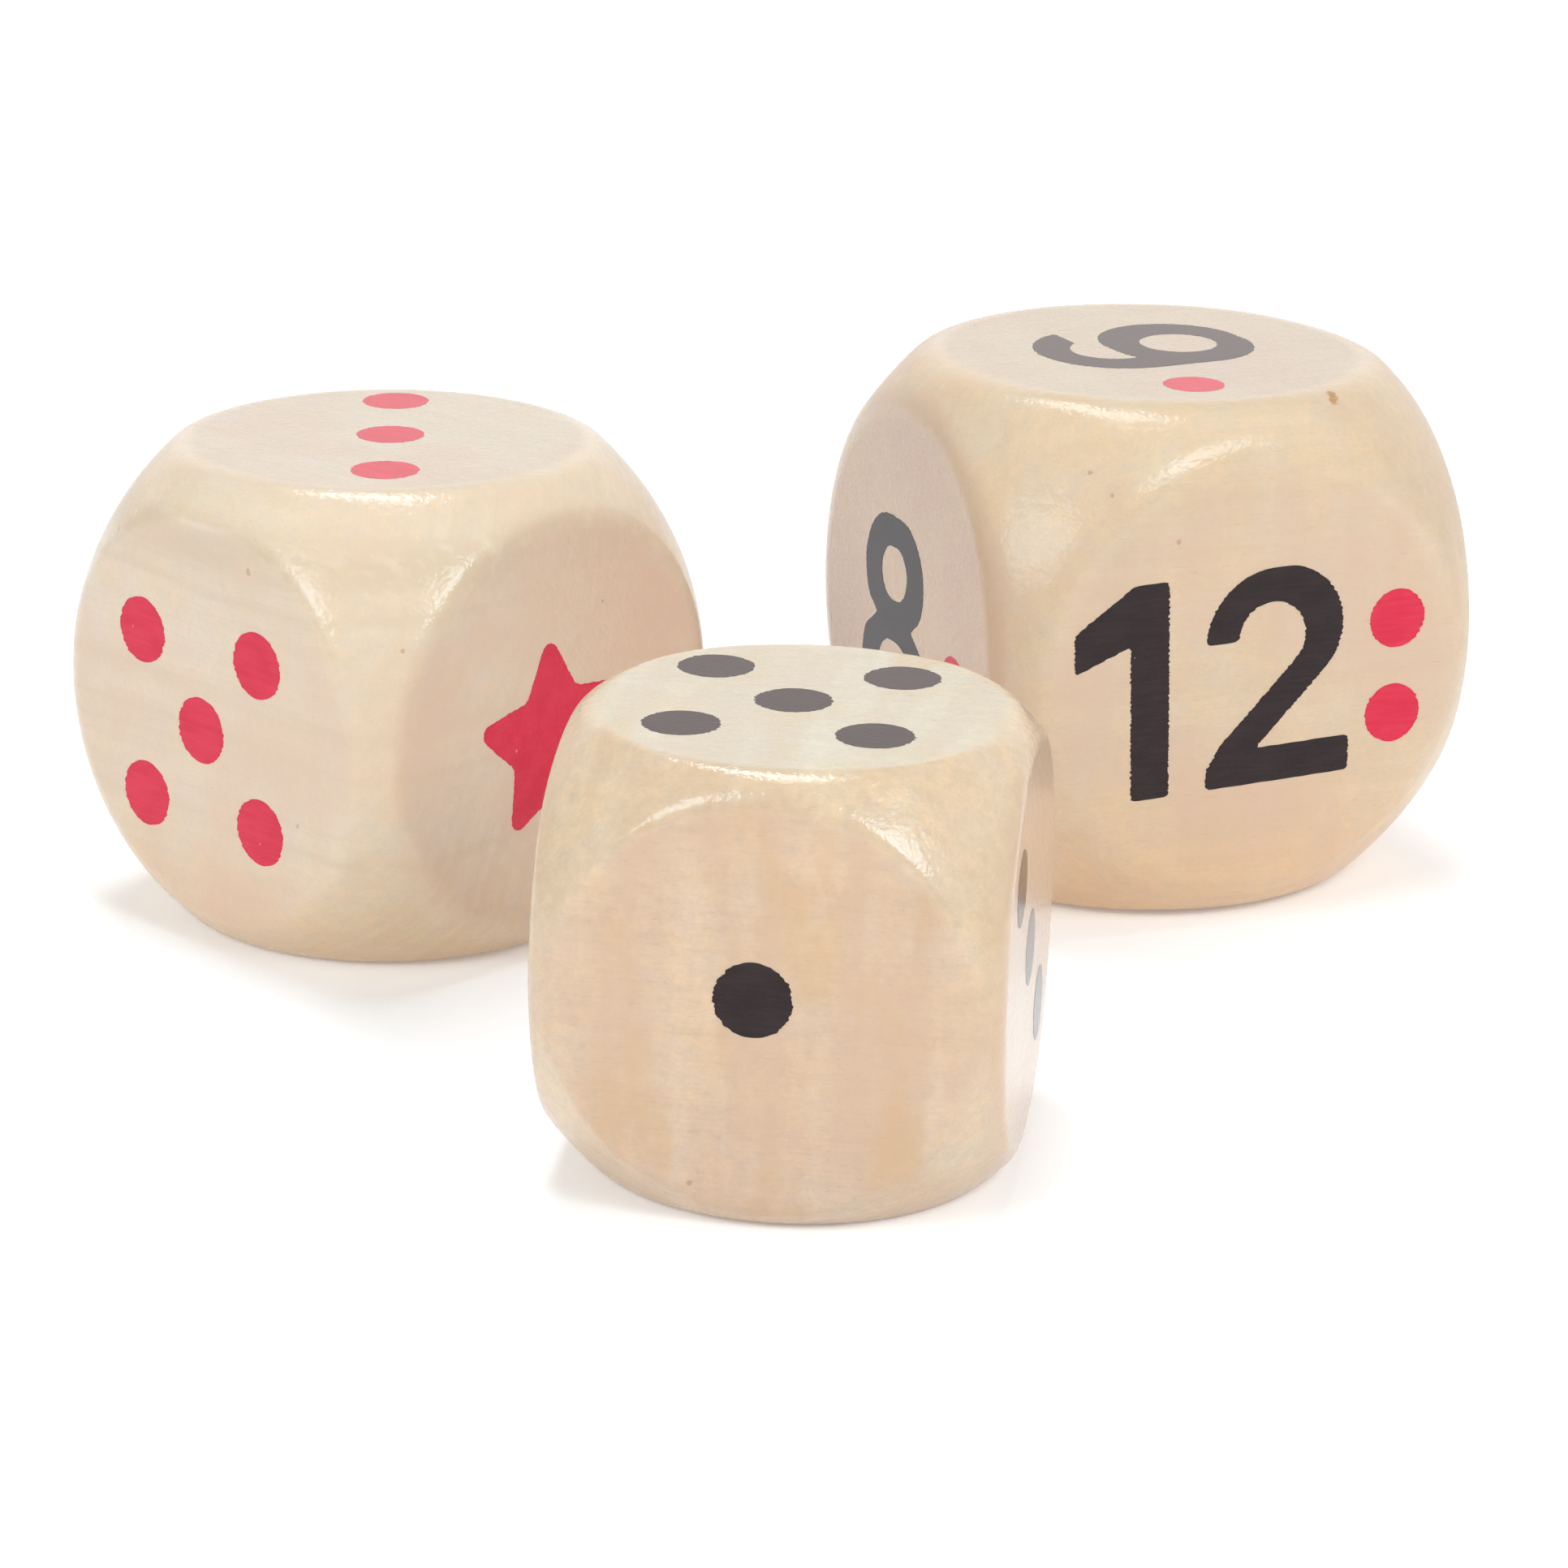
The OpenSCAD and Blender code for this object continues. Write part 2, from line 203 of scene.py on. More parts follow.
class Die:
    """A die's place, size and own axes. Its front is -Y and its own origin is its centre."""

    def __init__(self, name, facts):
        self.name = name
        self.block = name + "_block"
        self.facts = facts
        low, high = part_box(self.block)
        self.half = (high.z - low.z) / 2
        self.centre = (low + high) / 2
        self.angle = self.turn()
        self.to_world = Matrix.Translation(self.centre) @ Matrix.Rotation(self.angle, 4, "Z")
        self.to_own = self.to_world.inverted()

    def turn(self):
        """The turn about Z, from the way that the upright flats and the front print face."""
        sine = cosine = 0.0
        for face in frame["nodes"][self.block].data.polygons:
            if abs(face.normal.z) < 0.001:
                angle = 4 * math.atan2(face.normal.y, face.normal.x)
                sine += face.area * math.sin(angle)
                cosine += face.area * math.cos(angle)
        quarter = math.atan2(sine, cosine) / 4
        low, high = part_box(self.facts["front_print"])
        out = (low + high) / 2 - self.centre
        front = math.atan2(out.y, out.x) + math.pi / 2
        return quarter + round((front - quarter) / (math.pi / 2)) * math.pi / 2

    def dress(self, piece, material, *nodes):
        """Places a piece made in the die's own axes, and has it stand for CAD nodes."""
        piece.data.transform(self.to_world)
        piece.data.materials.append(material)
        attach(piece, self.name)
        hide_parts(*nodes)


def mesh_object(name, vertices, faces, smooth):
    mesh = bpy.data.meshes.new(name)
    mesh.from_pydata([tuple(v) for v in vertices], [], faces)
    piece = bpy.data.objects.new(name, mesh)
    bpy.context.scene.collection.objects.link(piece)
    work = bmesh.new()
    work.from_mesh(mesh)
    bmesh.ops.remove_doubles(work, verts=work.verts, dist=MERGE)
    bmesh.ops.recalc_face_normals(work, faces=work.faces)
    for face in work.faces:
        face.smooth = smooth
    work.to_mesh(mesh)
    work.free()
    return piece


def wave(x, y, z):
    return noise.noise(Vector((x, y, z)))


# ---- the wooden block ----

def smooth_step(value, start, end):
    share = min(max((value - start) / (end - start), 0), 1)
    return share * share * (3 - 2 * share)


def ray_points(die, ball_r, ball_start, out, ray, reach, rim_r):
    """The skin's points on one ray from a flat's centre: over the flat, the rim and the ball.
    Flat, rim and ball stay tangent whatever the rim's radius is."""
    rim_height = die.half - rim_r
    flat_r = math.sqrt((ball_r - rim_r) ** 2 - rim_height ** 2)
    touch = math.atan2(flat_r, rim_height)
    points = [ray * flat_r * share + out * (die.half - WOOD_DROP) for share in FLAT_RINGS]
    for ring in range(RIM_RINGS + 1):
        turn = touch * ring / RIM_RINGS
        drop = WOOD_DROP * (1 - ring / RIM_RINGS)
        away = flat_r + rim_r * math.sin(turn)
        height = rim_height + rim_r * math.cos(turn) - drop
        points.append(ray * away + out * height)
    for ring in range(1, BALL_RINGS + 1):
        turn = touch + (reach - touch) * ring / BALL_RINGS
        point = ray * math.sin(turn) + out * math.cos(turn)
        from_flat = math.acos(max(abs(c) for c in point))
        fade = smooth_step(from_flat, ball_start, ball_start + BALL_FADE)
        hollow = 0.5 + 0.5 * noise.noise(point * 3.1 + Vector((die.facts["seed"], 0, 0)))
        points.append(point * (ball_r - BALL_UNEVEN * fade * hollow))
    return points


def block_skin(die):
    """The block's skin: six flats with rims of uneven radius, and the ball between them."""
    half, facts = die.half, die.facts
    rim_x = half - facts["edge_inset"]
    rim_z = half - facts["rim_r"]
    ball_r = facts["rim_r"] + math.hypot(rim_x, rim_z)
    ball_start = math.atan2(rim_x, rim_z)
    # a wider rim would meet the next flat's rim before the ball does
    widest_rim = (math.sqrt(2) * half - ball_r) / (math.sqrt(2) - 1) * RIM_LIMIT
    side = [math.tan(math.radians(-45 + 90 * i / RAYS_PER_SIDE)) for i in range(RAYS_PER_SIDE)]
    square = [(1, t) for t in side] + [(-t, 1) for t in side]
    square += [(-a, -b) for a, b in square]
    rays, rings = len(square), len(FLAT_RINGS) + RIM_RINGS + 1 + BALL_RINGS
    vertices, faces = [], []
    for number, (axis, sign) in enumerate((a, s) for a in range(3) for s in (1, -1)):
        out, across, up = Vector(), Vector(), Vector()
        out[axis] = sign
        across[(axis + 1) % 3] = 1
        up[(axis + 2) % 3] = sign
        first = len(vertices)
        vertices.append(out * (half - WOOD_DROP))
        for a, b in square:
            ray = (across * a + up * b).normalized()
            to_corner = smooth_step(min(abs(a), abs(b)), 0.1, 0.9)
            rim_r = facts["rim_at_sides"] * (1 - to_corner) + facts["rim_at_corners"] * to_corner
            wander = noise.noise(ray * 1.7 + Vector((facts["seed"], 3.1 * number, 0)))
            rim_r = min(rim_r * (RIM_MEAN + RIM_UNEVEN * wander), widest_rim)
            reach = math.atan(math.hypot(a, b))
            vertices += ray_points(die, ball_r, ball_start, out, ray, reach, rim_r)
        for ray in range(rays):
            here = first + 1 + ray * rings
            beside = first + 1 + (ray + 1) % rays * rings
            faces.append((first, here, beside))
            for ring in range(rings - 1):
                faces.append((here + ring, here + ring + 1, beside + ring + 1, beside + ring))
    return vertices, faces


# ---- the prints ----

class Flat:
    """The flat that a print lies on: its outward axis, which way it faces, and its 2-D axes."""

    def __init__(self, die, node):
        low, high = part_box(node)
        place = die.to_own @ ((low + high) / 2)
        self.half = die.half
        self.axis = max(range(3), key=lambda i: abs(place[i]))
        self.sign = 1 if place[self.axis] > 0 else -1
        self.right, self.up = (self.axis + 1) % 3, (self.axis + 2) % 3

    def is_outer(self, face):
        height = face.calc_center_median()[self.axis] * self.sign
        return face.normal[self.axis] * self.sign > 0.99 and height > self.half - INK_NEAR

    def place(self, point):
        place = Vector((0, 0, 0))
        place[self.axis] = self.sign * self.half
        place[self.right], place[self.up] = point
        return place


def print_outlines(die, node, flat):
    """The outlines of a print's outer side, as lists of points on the flat's 2-D axes."""
    work = bmesh.new()
    work.from_mesh(frame["nodes"][node].data)
    work.transform(die.to_own)
    bmesh.ops.remove_doubles(work, verts=work.verts, dist=MERGE)
    work.normal_update()
    # a list keeps the mesh's own order, so that each outline starts at the same point every time
    outer = [face for face in work.faces if flat.is_outer(face)]
    after = {}
    for face in outer:
        for corner in face.loops:
            if all(other not in outer for other in corner.edge.link_faces if other is not face):
                after[corner.vert] = corner.link_loop_next.vert
    outlines = []
    while after:
        here = next(iter(after))
        outline = []
        while here in after:
            outline.append((here.co[flat.right], here.co[flat.up]))
            here = after.pop(here)
        outlines.append(np.array(outline))
    work.free()
    return outlines


def evenly(outline, step):
    """The same closed outline with points evenly spaced along it."""
    closed = np.vstack([outline, outline[:1]])
    run = np.concatenate([[0], np.cumsum(np.linalg.norm(np.diff(closed, axis=0), axis=1))])
    count = max(24, int(round(run[-1] / step)))
    at = np.linspace(0, run[-1], count, endpoint=False)
    return np.stack([np.interp(at, run, closed[:, i]) for i in (0, 1)], axis=1)


def ragged(outline, along, seed):
    """The outline as ink leaves it: corners rounded, edges wandering, and teeth along the fibres.
    along is the fibre's direction on this flat, or None on end grain."""
    for _ in range(CORNER_PASSES):
        outline = (np.roll(outline, 1, 0) + 2 * outline + np.roll(outline, -1, 0)) / 4
    tangent = np.roll(outline, -1, 0) - np.roll(outline, 1, 0)
    tangent /= np.linalg.norm(tangent, axis=1)[:, None]
    outward = np.stack([tangent[:, 1], -tangent[:, 0]], axis=1)
    moved = outline.copy()
    for i, (point, out) in enumerate(zip(outline, outward)):
        moved[i] += out * WOBBLE * wave(point[0] / WOBBLE_PITCH, point[1] / WOBBLE_PITCH, seed)
        if along is None:
            teeth = wave(point[0] / TEETH_PITCH, point[1] / TEETH_PITCH, seed + 5)
            moved[i] += out * TEETH * END_TEETH * teeth
        else:
            facing = out @ along
            line = (point[1] * along[0] - point[0] * along[1]) / TEETH_PITCH
            teeth = wave(line, 4 * math.copysign(1, facing), seed)
            fine = wave(line / FINE_PITCH, point @ along / FINE_LENGTH, seed + 9)
            side = math.copysign(min(abs(facing) * 3, 1), facing)
            moved[i] += along * side * TEETH * (teeth + FINE_TEETH * fine)
    return moved


def print_film(die, node):
    """A print as a thin film whose top is at the CAD print's own height."""
    flat = Flat(die, node)
    fibre = die.facts["fibre"]
    along = None
    if fibre != flat.axis:
        along = np.array([1.0, 0.0] if fibre == flat.right else [0.0, 1.0])
    seed = die.facts["seed"] + 3 * flat.axis + flat.sign
    work = bmesh.new()
    pairs = []
    for outline in print_outlines(die, node, flat):
        # seen from outside, the flat's own 2-D axes are mirrored where sign is -1
        seen = evenly(outline, EDGE_STEP) * (1, flat.sign)
        edge = ragged(seen, along, seed) * (1, flat.sign)
        loop = [work.verts.new(flat.place(point)) for point in edge]
        pairs += zip(loop, loop[1:] + loop[:1])
    edges = [work.edges.new(pair) for pair in pairs]
    bmesh.ops.triangle_fill(work, use_beauty=True, edges=edges)
    work.verts.index_update()
    top = [v.co.copy() for v in work.verts]
    under = Vector((0, 0, 0))
    under[flat.axis] = -flat.sign * INK_DEPTH
    count = len(top)
    faces = []
    for face in work.faces:
        ring = [v.index for v in face.verts]
        faces.append(ring)
        faces.append([i + count for i in reversed(ring)])
    for a, b in pairs:
        faces.append((a.index, b.index, b.index + count, a.index + count))
    work.free()
    return top + [v + under for v in top], faces


# ---- materials ----

# factors on the tone of the fine mottling, from warm to cool
WARM = (1.03, 0.985, 0.92)
COOL = (0.98, 1.01, 1.06)
PORE = (0.36, 0.21, 0.11)
SPECK = (0.30, 0.16, 0.07)
KNOT = (0.42, 0.22, 0.07)
SPECK_LARGEST = 1        # in mm: a larger fleck is a knot
FIBRE_BEND = 6 * MM
SUBSURFACE_REACH = (1.0, 0.55, 0.3)

# full is the ink where it covers, thin is where the fibres show through, and gloss is the
# refractive index of the lacquer on it
INKS = {
    "black_ink": {"full": (0.012, 0.003, 0.003), "thin": (0.022, 0.009, 0.009), "gloss": 1.36},
    "red_ink": {"full": (0.60, 0.021, 0.054), "thin": (0.66, 0.033, 0.071), "gloss": 1.28},
}


class Tree:
    """Short hand for a material's or world's nodes: each call adds nodes and gives an output."""

    def __init__(self, owner, shader_type="BSDF_PRINCIPLED"):
        owner.use_nodes = True
        self.owner = owner
        self.nodes = owner.node_tree.nodes
        self.links = owner.node_tree.links
        self.shader = next(node for node in self.nodes if node.type == shader_type)

    def wire(self, socket, value):
        if isinstance(value, bpy.types.NodeSocket):
            self.links.new(value, socket)
        else:
            socket.default_value = value

    def coordinates(self, kind):
        return self.nodes.new("ShaderNodeTexCoord").outputs[kind]

    def math(self, operation, *values, clamp=False):
        node = self.nodes.new("ShaderNodeMath")
        node.operation, node.use_clamp = operation, clamp
        for socket, value in zip(node.inputs, values):
            self.wire(socket, value)
        return node.outputs[0]

    def vector(self, operation, *values):
        node = self.nodes.new("ShaderNodeVectorMath")
        node.operation = operation
        for socket, value in zip(node.inputs, values):
            self.wire(socket, value)
        return node.outputs["Value" if operation in ("LENGTH", "DISTANCE") else "Vector"]

    def split(self, vector):
        node = self.nodes.new("ShaderNodeSeparateXYZ")
        self.wire(node.inputs[0], vector)
        return list(node.outputs)

    def join(self, *values):
        node = self.nodes.new("ShaderNodeCombineXYZ")
        for socket, value in zip(node.inputs, values):
            self.wire(socket, value)
        return node.outputs[0]

    def noise(self, vector, detail=2.0, roughness=0.5):
        node = self.nodes.new("ShaderNodeTexNoise")
        self.wire(node.inputs["Vector"], vector)
        node.inputs["Scale"].default_value = 1.0
        node.inputs["Detail"].default_value = detail
        node.inputs["Roughness"].default_value = roughness
        return node.outputs["Fac"]

    def span(self, value, start, end, low=0.0, high=1.0):
        """Goes smoothly from low to high as the value goes from start to end."""
        node = self.nodes.new("ShaderNodeMapRange")
        node.interpolation_type = "SMOOTHSTEP"
        names = ("Value", "From Min", "From Max", "To Min", "To Max")
        for name, part in zip(names, (value, start, end, low, high)):
            self.wire(node.inputs[name], part)
        return node.outputs[0]

    def weigh(self, first, second, share):
        """A mean of two values in which the second counts for the stated share."""
        return self.math(
            "ADD", self.math("MULTIPLY", first, 1 - share), self.math("MULTIPLY", second, share)
        )

    def mix(self, share, first, second, blend="MIX"):
        node = self.nodes.new("ShaderNodeMix")
        node.data_type, node.blend_type = "RGBA", blend
        sockets = [s for s in node.inputs if s.enabled]
        for socket, value in zip(sockets, (share, first, second)):
            self.wire(socket, (*value, 1) if isinstance(value, tuple) else value)
        return next(s for s in node.outputs if s.enabled)

    def tint(self, share, colour, factors):
        """The colour, multiplied by factors as far as share says."""
        return self.mix(share, colour, self.mix(1.0, colour, factors, "MULTIPLY"))

    def bump(self, height, distance, normal=None):
        node = self.nodes.new("ShaderNodeBump")
        self.wire(node.inputs["Height"], height)
        node.inputs["Distance"].default_value = distance
        if normal is not None:
            self.wire(node.inputs["Normal"], normal)
        return node.outputs[0]

    def shade(self, **values):
        for name, value in values.items():
            self.wire(self.shader.inputs[name.replace("_", " ")], value)


class Wood:
    """The run of a die's fibres, which both its wood and the ink on it follow."""

    def __init__(self, tree, die):
        self.tree, self.seed = tree, die.facts["seed"]
        # back from the row's axes to the die's own
        own = tree.nodes.new("ShaderNodeMapping")
        own.vector_type = "TEXTURE"
        own.inputs["Location"].default_value = die.centre
        own.inputs["Rotation"].default_value = (0, 0, die.angle)
        tree.wire(own.inputs["Vector"], tree.coordinates("Object"))
        self.place = own.outputs[0]
        x, y, z = tree.split(self.place)
        # along the fibre, then the two directions across it, the first of which bends
        self.along, straight, self.up = (x, y, z) if die.facts["fibre"] == 0 else (y, z, x)
        seeded = tree.vector("ADD", self.place, (self.seed, 0.37 * self.seed, 0))
        bend = tree.noise(tree.vector("MULTIPLY", seeded, (22, 22, 22)), 1.0)
        bend = tree.math("MULTIPLY", tree.math("SUBTRACT", bend, 0.5), FIBRE_BEND)
        self.left = tree.math("ADD", straight, bend)

    def grain(self, along, across, shift, detail=2.0, roughness=0.5):
        """A noise with the stated frequencies, per metre, along and across the fibre."""
        tree = self.tree
        place = tree.join(
            tree.math("ADD", tree.math("MULTIPLY", self.along, along), shift),
            tree.math("MULTIPLY", self.left, across),
            tree.math("MULTIPLY", self.up, across),
        )
        return tree.noise(place, detail, roughness)

    def even(self, frequency, detail=2.0, roughness=0.5):
        """A noise with the stated frequency, per metre, in every direction."""
        place = self.tree.vector("MULTIPLY", self.place, (frequency,) * 3)
        return self.tree.noise(place, detail, roughness)


class BlockWood(Wood):
    """A block's wood. Each layer takes the colour so far and gives the colour with it on top."""

    def __init__(self, die):
        tree = Tree(bpy.data.materials.new(die.name + "_wood"))
        super().__init__(tree, die)
        self.facts, self.half = die.facts, die.half
        self.fibres = self.grain(70, 1900, self.seed, 3.0, 0.6)
        self.streaks = self.grain(22, 330, self.seed)
        self.figure = self.grain(120, 16, self.seed + 2)
        self.mottle = self.even(480, 4.0, 0.68)
        self.height = tree.split(self.place)[2]
        # how far out from the middle of the nearest flat a spot is
        ax, ay, az = tree.split(tree.vector("ABSOLUTE", self.place))
        nearest = tree.math("MAXIMUM", tree.math("MAXIMUM", ax, ay), az)
        squares = [tree.math("POWER", v, 2.0) for v in (tree.vector("LENGTH", self.place), nearest)]
        self.out = tree.math("SQRT", tree.math("SUBTRACT", *squares))
        # 1 on the flats and 0 on the ball, with a softer border low down
        self.rim_x = die.half - die.facts["edge_inset"]
        border = tree.span(self.height, -0.3 * self.half, 0.6 * self.half, 7 * MM, 2.2 * MM)
        border = tree.math("ADD", border, self.rim_x)
        self.flat = tree.span(self.out, border, self.rim_x - 1.4 * MM)

    def plain(self):
        """The wood's own tone, from light to dark, with fine warm and cool mottling."""
        tree, facts = self.tree, self.facts
        # growth rings are uneven bands of distance from the pith
        from_pith = tree.join(
            0.0,
            tree.math("SUBTRACT", self.left, facts["pith"][0]),
            tree.math("SUBTRACT", self.up, facts["pith"][1]),
        )
        ring_r = tree.vector("LENGTH", from_pith)
        rings = tree.noise(tree.join(tree.math("MULTIPLY", ring_r, 420), self.seed, 0.0), 3.0, 0.6)
        weights = (
            (rings, facts["rings"]),
            (self.fibres, 0.45),
            (self.grain(900, 2600, self.seed + 6, 3.0, 0.65), 0.6),
            (self.mottle, facts["mottle"]),
            (self.streaks, 0.5),
            (self.figure, facts["figure"]),
        )
        shade = 0.42
        for part, weight in weights:
            part = tree.math("MULTIPLY", tree.math("SUBTRACT", part, 0.5), weight)
            shade = tree.math("ADD", shade, part)
        shade = tree.math("MINIMUM", tree.math("MAXIMUM", shade, 0.0), 1.0)
        colour = tree.mix(shade, facts["light"], facts["dark"])
        warmth = tree.weigh(self.mottle, self.even(110), 0.4)
        return tree.mix(1.0, colour, tree.mix(tree.span(warmth, 0.35, 0.65), WARM, COOL), "MULTIPLY")

    def late_wood(self, colour):
        """Single darker growth rings that reach the surface."""
        tree = self.tree
        for place, width, strength in self.facts["late_wood"]:
            gap = tree.math("ABSOLUTE", tree.math("SUBTRACT", self.left, place * MM))
            broken = tree.span(self.streaks, 0.25, 0.55)
            band = tree.math("MULTIPLY", tree.span(gap, width * MM, 0.0), broken)
            colour = tree.mix(tree.math("MULTIPLY", band, strength), colour, self.facts["dark"])
        return colour

    def rosy_clouds(self, colour):
        """Clouds that are stronger on the flats and on end grain."""
        tree, facts = self.tree, self.facts
        blotches = self.grain(30, 34, self.seed, 3.0, 0.55)
        clouds = tree.weigh(blotches, self.figure, 0.55 * facts["figure"])
        clouds = tree.span(clouds, 0.40, 0.66 - 0.06 * facts["figure"])
        on_flats = tree.math("ADD", 0.35, tree.math("MULTIPLY", self.flat, 0.4))
        clouds = tree.math("MULTIPLY", clouds, on_flats)
        end = tree.span(tree.math("ABSOLUTE", self.along), self.half - 4 * MM, self.half - 0.1 * MM)
        end = tree.math("MULTIPLY", end, facts["end_grain"])
        return tree.mix(tree.math("ADD", clouds, end, clamp=True), colour, facts["rosy"])

    def amber_stains(self, colour):
        """Stains that are longest across the fibre, and strongest on the flats."""
        tree, facts = self.tree, self.facts
        stains = tree.span(self.grain(85, 30, self.seed + 11, 3.0, 0.6), 0.48, 0.70)
        stains = tree.math("MULTIPLY", stains, tree.span(self.flat, 0.0, 1.0, 0.15, 0.65))
        return tree.mix(tree.math("MULTIPLY", stains, facts["figure"]), colour, facts["amber"])

    def light_and_shade_tints(self, colour):
        """Painted light: painted light from above on the upper flat, a painted reflection that
        lightens the ball, and painted light and shade low down.
        """
        tree, facts, half = self.tree, self.facts, self.half
        # painted reflection: the ball made lighter and less red than the flats
        colour = tree.tint(tree.math("SUBTRACT", 1.0, self.flat), colour, facts["ball_painted_reflection"])
        # painted light and reflection from above, as factors on the upper flat's tone
        top = tree.span(self.height, half - 3 * MM, half - 1 * MM)
        colour = tree.tint(tree.math("MULTIPLY", self.flat, top), colour, facts["top_painted_light"])
        # painted light and shade low down, as factors on the lower part's tone
        low = tree.span(self.height, -0.25 * half, -0.9 * half)
        return tree.tint(low, colour, facts["low_painted_light_and_shade"])

    def pores(self, colour):
        """Fine pores, barely darker than the wood."""
        pores = self.tree.span(self.grain(330, 3600, 3.0, 1.0), 0.66, 0.76)
        return self.tree.mix(self.tree.math("MULTIPLY", pores, 0.16), colour, PORE)

    def flecks(self, colour):
        """Single pin knots and specks, with ragged borders."""
        tree = self.tree
        grit = self.even(1500, 1.0)
        for x, y, z, size in self.facts["flecks"]:
            gap = tree.vector("DISTANCE", self.place, (x * MM, y * MM, z * MM))
            uneven = tree.math("MULTIPLY", tree.math("SUBTRACT", grit, 0.5), size * 1.2 * MM)
            spot = tree.span(tree.math("ADD", gap, uneven), size * 0.9 * MM, size * 0.4 * MM)
            strength, tone = (0.8, KNOT) if size > SPECK_LARGEST else (0.45, SPECK)
            colour = tree.mix(tree.math("MULTIPLY", spot, strength), colour, tone)
        return colour

    def finish(self, colour):
        """The wood's surface, and lacquer that is thick on flats and rims and thin on the ball."""
        tree = self.tree
        dents, peel, ripple = self.even(1300), self.even(640, 1.0), self.even(210)
        normal = tree.bump(dents, 0.02 * MM, tree.bump(self.fibres, 0.012 * MM))
        lacquer_normal = tree.bump(peel, 0.12 * MM, tree.bump(ripple, 0.07 * MM))
        tree.shade(
            Base_Color=colour,
            Roughness=tree.span(self.fibres, 0.3, 0.7, 0.40, 0.52),
            Normal=tree.bump(ripple, 0.05 * MM, normal),
            Specular_IOR_Level=0.1,
            Coat_Weight=tree.span(self.out, self.rim_x + 1 * MM, self.rim_x + 7 * MM, 1.0, 0.5),
            Coat_IOR=1.48,
            Coat_Roughness=0.15,
            Coat_Normal=tree.bump(dents, 0.09 * MM, lacquer_normal),
            IOR=1.45,
            Subsurface_Weight=0.12,
            Subsurface_Radius=SUBSURFACE_REACH,
            Subsurface_Scale=0.0025,
        )


def wood_material(die):
    wood = BlockWood(die)
    colour = wood.plain()
    layers = (wood.late_wood, wood.rosy_clouds, wood.amber_stains, wood.light_and_shade_tints, wood.pores, wood.flecks)
    for layer in layers:
        colour = layer(colour)
    wood.finish(colour)
    return wood.tree.owner


def ink_material(die, ink):
    """Ink in the wood's surface: the fibres show as faint streaks, with a few missed specks."""
    facts = INKS[ink]
    tree = Tree(bpy.data.materials.new(f"{die.name}_{ink}"))
    wood = Wood(tree, die)
    fibres = wood.grain(110, 1500, 1.0, 3.0, 0.6)
    cover = tree.weigh(fibres, wood.grain(160, 260, 4.0), 0.5)
    colour = tree.mix(tree.span(cover, 0.36, 0.66), facts["full"], facts["thin"])
    missed = tree.span(wood.even(900, 0.0), 0.90, 0.93)
    colour = tree.mix(tree.math("MULTIPLY", missed, 0.3), colour, die.facts["light"])
    dents = wood.even(1700)
    tree.shade(
        Base_Color=colour,
        Roughness=tree.span(fibres, 0.3, 0.7, 0.42, 0.55),
        Normal=tree.bump(dents, 0.02 * MM, tree.bump(fibres, 0.015 * MM)),
        Specular_IOR_Level=0.0,
        Coat_Weight=1.0,
        Coat_IOR=facts["gloss"],
        Coat_Roughness=0.14,
        Coat_Normal=tree.bump(dents, 0.024 * MM),
        IOR=1.45,
    )
    return tree.owner


# ---- the dice ----

def is_black_print(node):
    """The small die's prints and the number die's numerals are black, and all others are red."""
    return node.startswith("small_die") or node.removeprefix("number_die_") in NUMERALS


for name, facts in DICE.items():
    die = Die(name, facts)
    skin = mesh_object(name + "_wood", *block_skin(die), smooth=True)
    die.dress(skin, wood_material(die), die.block)
    black = ink_material(die, "black_ink")
    red = ink_material(die, "red_ink")
    for node in sorted(frame["record"]["behaviour"]["bodies"][name]):
        if node == die.block:
            continue
        is_black = is_black_print(node)
        film = mesh_object(node + "_ink", *print_film(die, node), smooth=False)
        die.dress(film, black if is_black else red, node)

# ---- floor, light and camera ----

FLOOR_HALF = 6.0
PAPER = (0.93, 0.93, 0.93, 1)
GLOW_NEAR, GLOW_FAR = 0.19, 0.5    # the floor's own light, near the dice and away from them
GLOW_FROM, GLOW_TO = 0.25, 1.2     # distances between which it rises from one to the other
KEY_TONE = (0.88, 0.96, 1.0)
GLEAM_TONE = (0.69, 0.875, 1.0)
OVERHEAD_TONE = (0.90, 0.96, 1.0)
ROOM_TONE = (1.0, 0.93, 0.905, 1)
GLEAM_NEARER = 0.98    # the twin lamp's distance, as a share, so that neither hides the other

# The camera's place is from the centre of the small die's standing flat, which is the origin
CAMERA_PLACE = (-2.93 * MM, -714.86 * MM, 305.29 * MM)
CAMERA_DOWN = 18.705
CAMERA_ROLL = 1.023
CAMERA_LENS = 106.06
SENSOR_WIDTH = 36


def paper_floor():
    """White paper, wide enough to fill the view and lit from beneath away from the dice."""
    corners = [(-1, -1), (1, -1), (1, 1), (-1, 1)]
    sheet = [(x * FLOOR_HALF, y * FLOOR_HALF, 0) for x, y in corners]
    floor = mesh_object("floor", sheet, [(0, 1, 2, 3)], smooth=False)
    tree = Tree(bpy.data.materials.new("floor_paper"))
    away = tree.vector("LENGTH", tree.coordinates("Object"))
    tree.shade(
        Base_Color=PAPER,
        Roughness=0.9,
        Emission_Color=(1, 1, 1, 1),
        Emission_Strength=tree.span(away, GLOW_FROM, GLOW_TO, GLOW_NEAR, GLOW_FAR),
    )
    floor.data.materials.append(tree.owner)


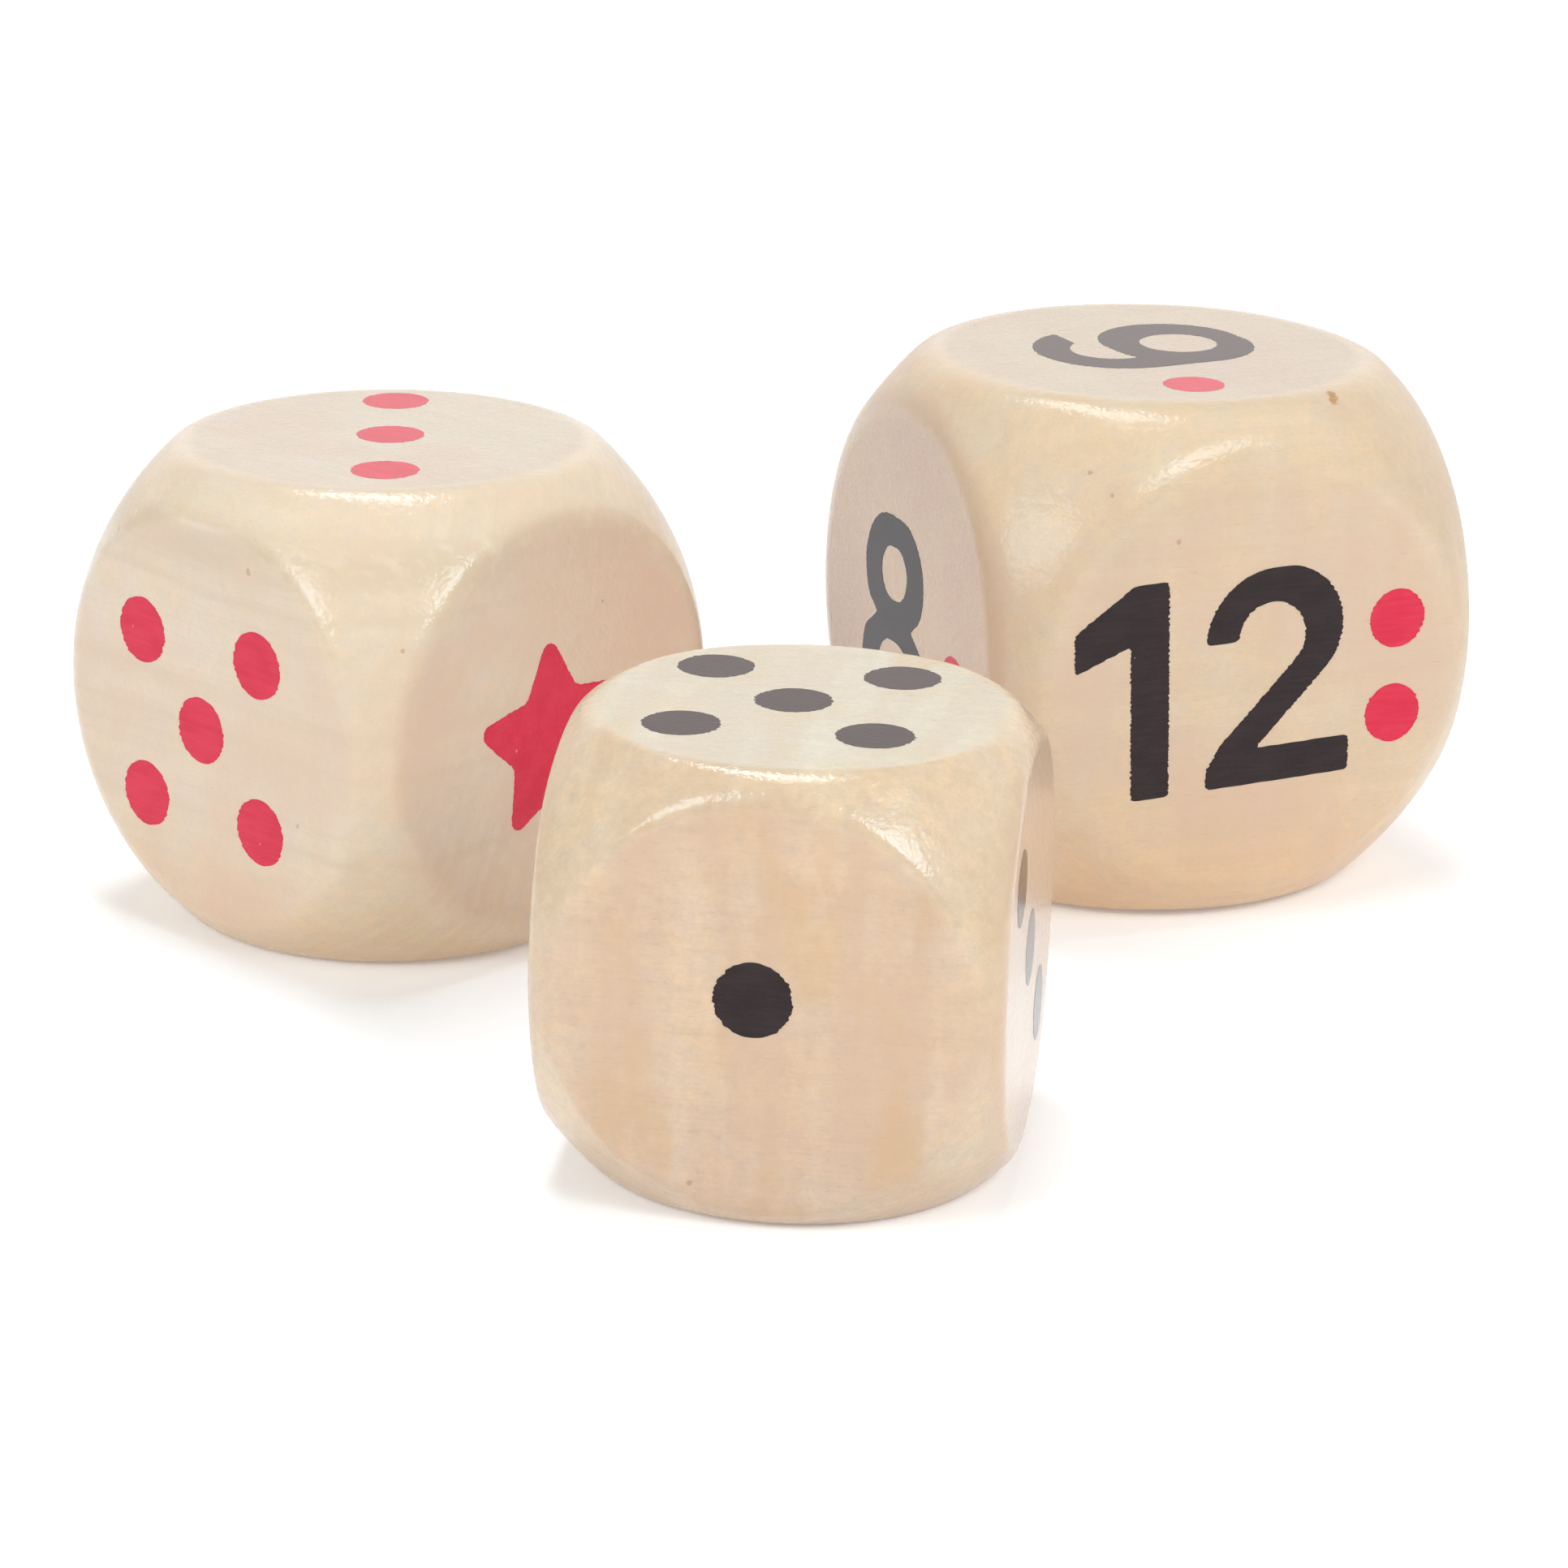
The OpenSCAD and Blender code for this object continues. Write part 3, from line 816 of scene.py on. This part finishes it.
def softbox(name, place, target, width, height, power, colour=(1, 1, 1)):
    light = bpy.data.lights.new(name, "AREA")
    light.shape = "RECTANGLE"
    light.size, light.size_y = width, height
    light.energy, light.color = power, colour
    lamp = bpy.data.objects.new(name, light)
    lamp.location = place
    lamp.rotation_euler = (Vector(target) - Vector(place)).to_track_quat("-Z", "Y").to_euler()
    bpy.context.scene.collection.objects.link(lamp)
    return lamp


def key_light(name, place, target, width, height, power, gleam):
    """A soft box whose mirror image in the lacquer is gleam times as strong, and cooler."""
    lamp = softbox(name, place, target, width, height, power, KEY_TONE)
    lamp.visible_glossy = False
    nearer = Vector(place) * GLEAM_NEARER
    twin = softbox(name + "_gleam", nearer, target, width, height, power * gleam, GLEAM_TONE)
    twin.visible_diffuse = False


def studio(zenith, walls, backdrop):
    """A room with pale walls, a dimmer ceiling and a bright backdrop, as one world."""
    tree = Tree(bpy.data.worlds.new("studio"), "BACKGROUND")
    _, back, rise = tree.split(tree.coordinates("Generated"))
    ceiling = tree.span(rise, 0.75, 0.4, zenith, walls)
    behind = tree.span(back, 0.45, 0.85, 1.0, backdrop / walls)
    tree.shade(Color=ROOM_TONE, Strength=tree.math("MULTIPLY", ceiling, behind))
    bpy.context.scene.world = tree.owner


paper_floor()
studio(zenith=0.15, walls=0.38, backdrop=1.15)
middle = (cad_box[0] + cad_box[1]) / 2
softbox("overhead", (-0.12, 0.30, 1.3), middle, 0.34, 0.86, 9.0, OVERHEAD_TONE)
key_light("key_left", (-0.62, -0.58, 0.62), middle, 0.42, 0.44, 4.7, gleam=0.75)
key_light("key_right", (0.56, -0.62, 0.76), middle, 0.46, 0.42, 5.9, gleam=0.85)
softbox("fill_right", (1.1, -0.1, 0.95), middle, 0.8, 0.6, 3.1).visible_glossy = False
bpy.context.scene.view_settings.view_transform = "Standard"

camera = bpy.data.objects.new("camera", bpy.data.cameras.new("camera"))
camera.data.lens = CAMERA_LENS
camera.data.sensor_width = SENSOR_WIDTH
camera.data.clip_start = 0.01
camera.matrix_world = (
    Matrix.Translation(CAMERA_PLACE)
    @ Matrix.Rotation(math.radians(90 - CAMERA_DOWN), 4, "X")
    @ Matrix.Rotation(math.radians(CAMERA_ROLL), 4, "Z")
)
bpy.context.scene.collection.objects.link(camera)
bpy.context.scene.camera = camera
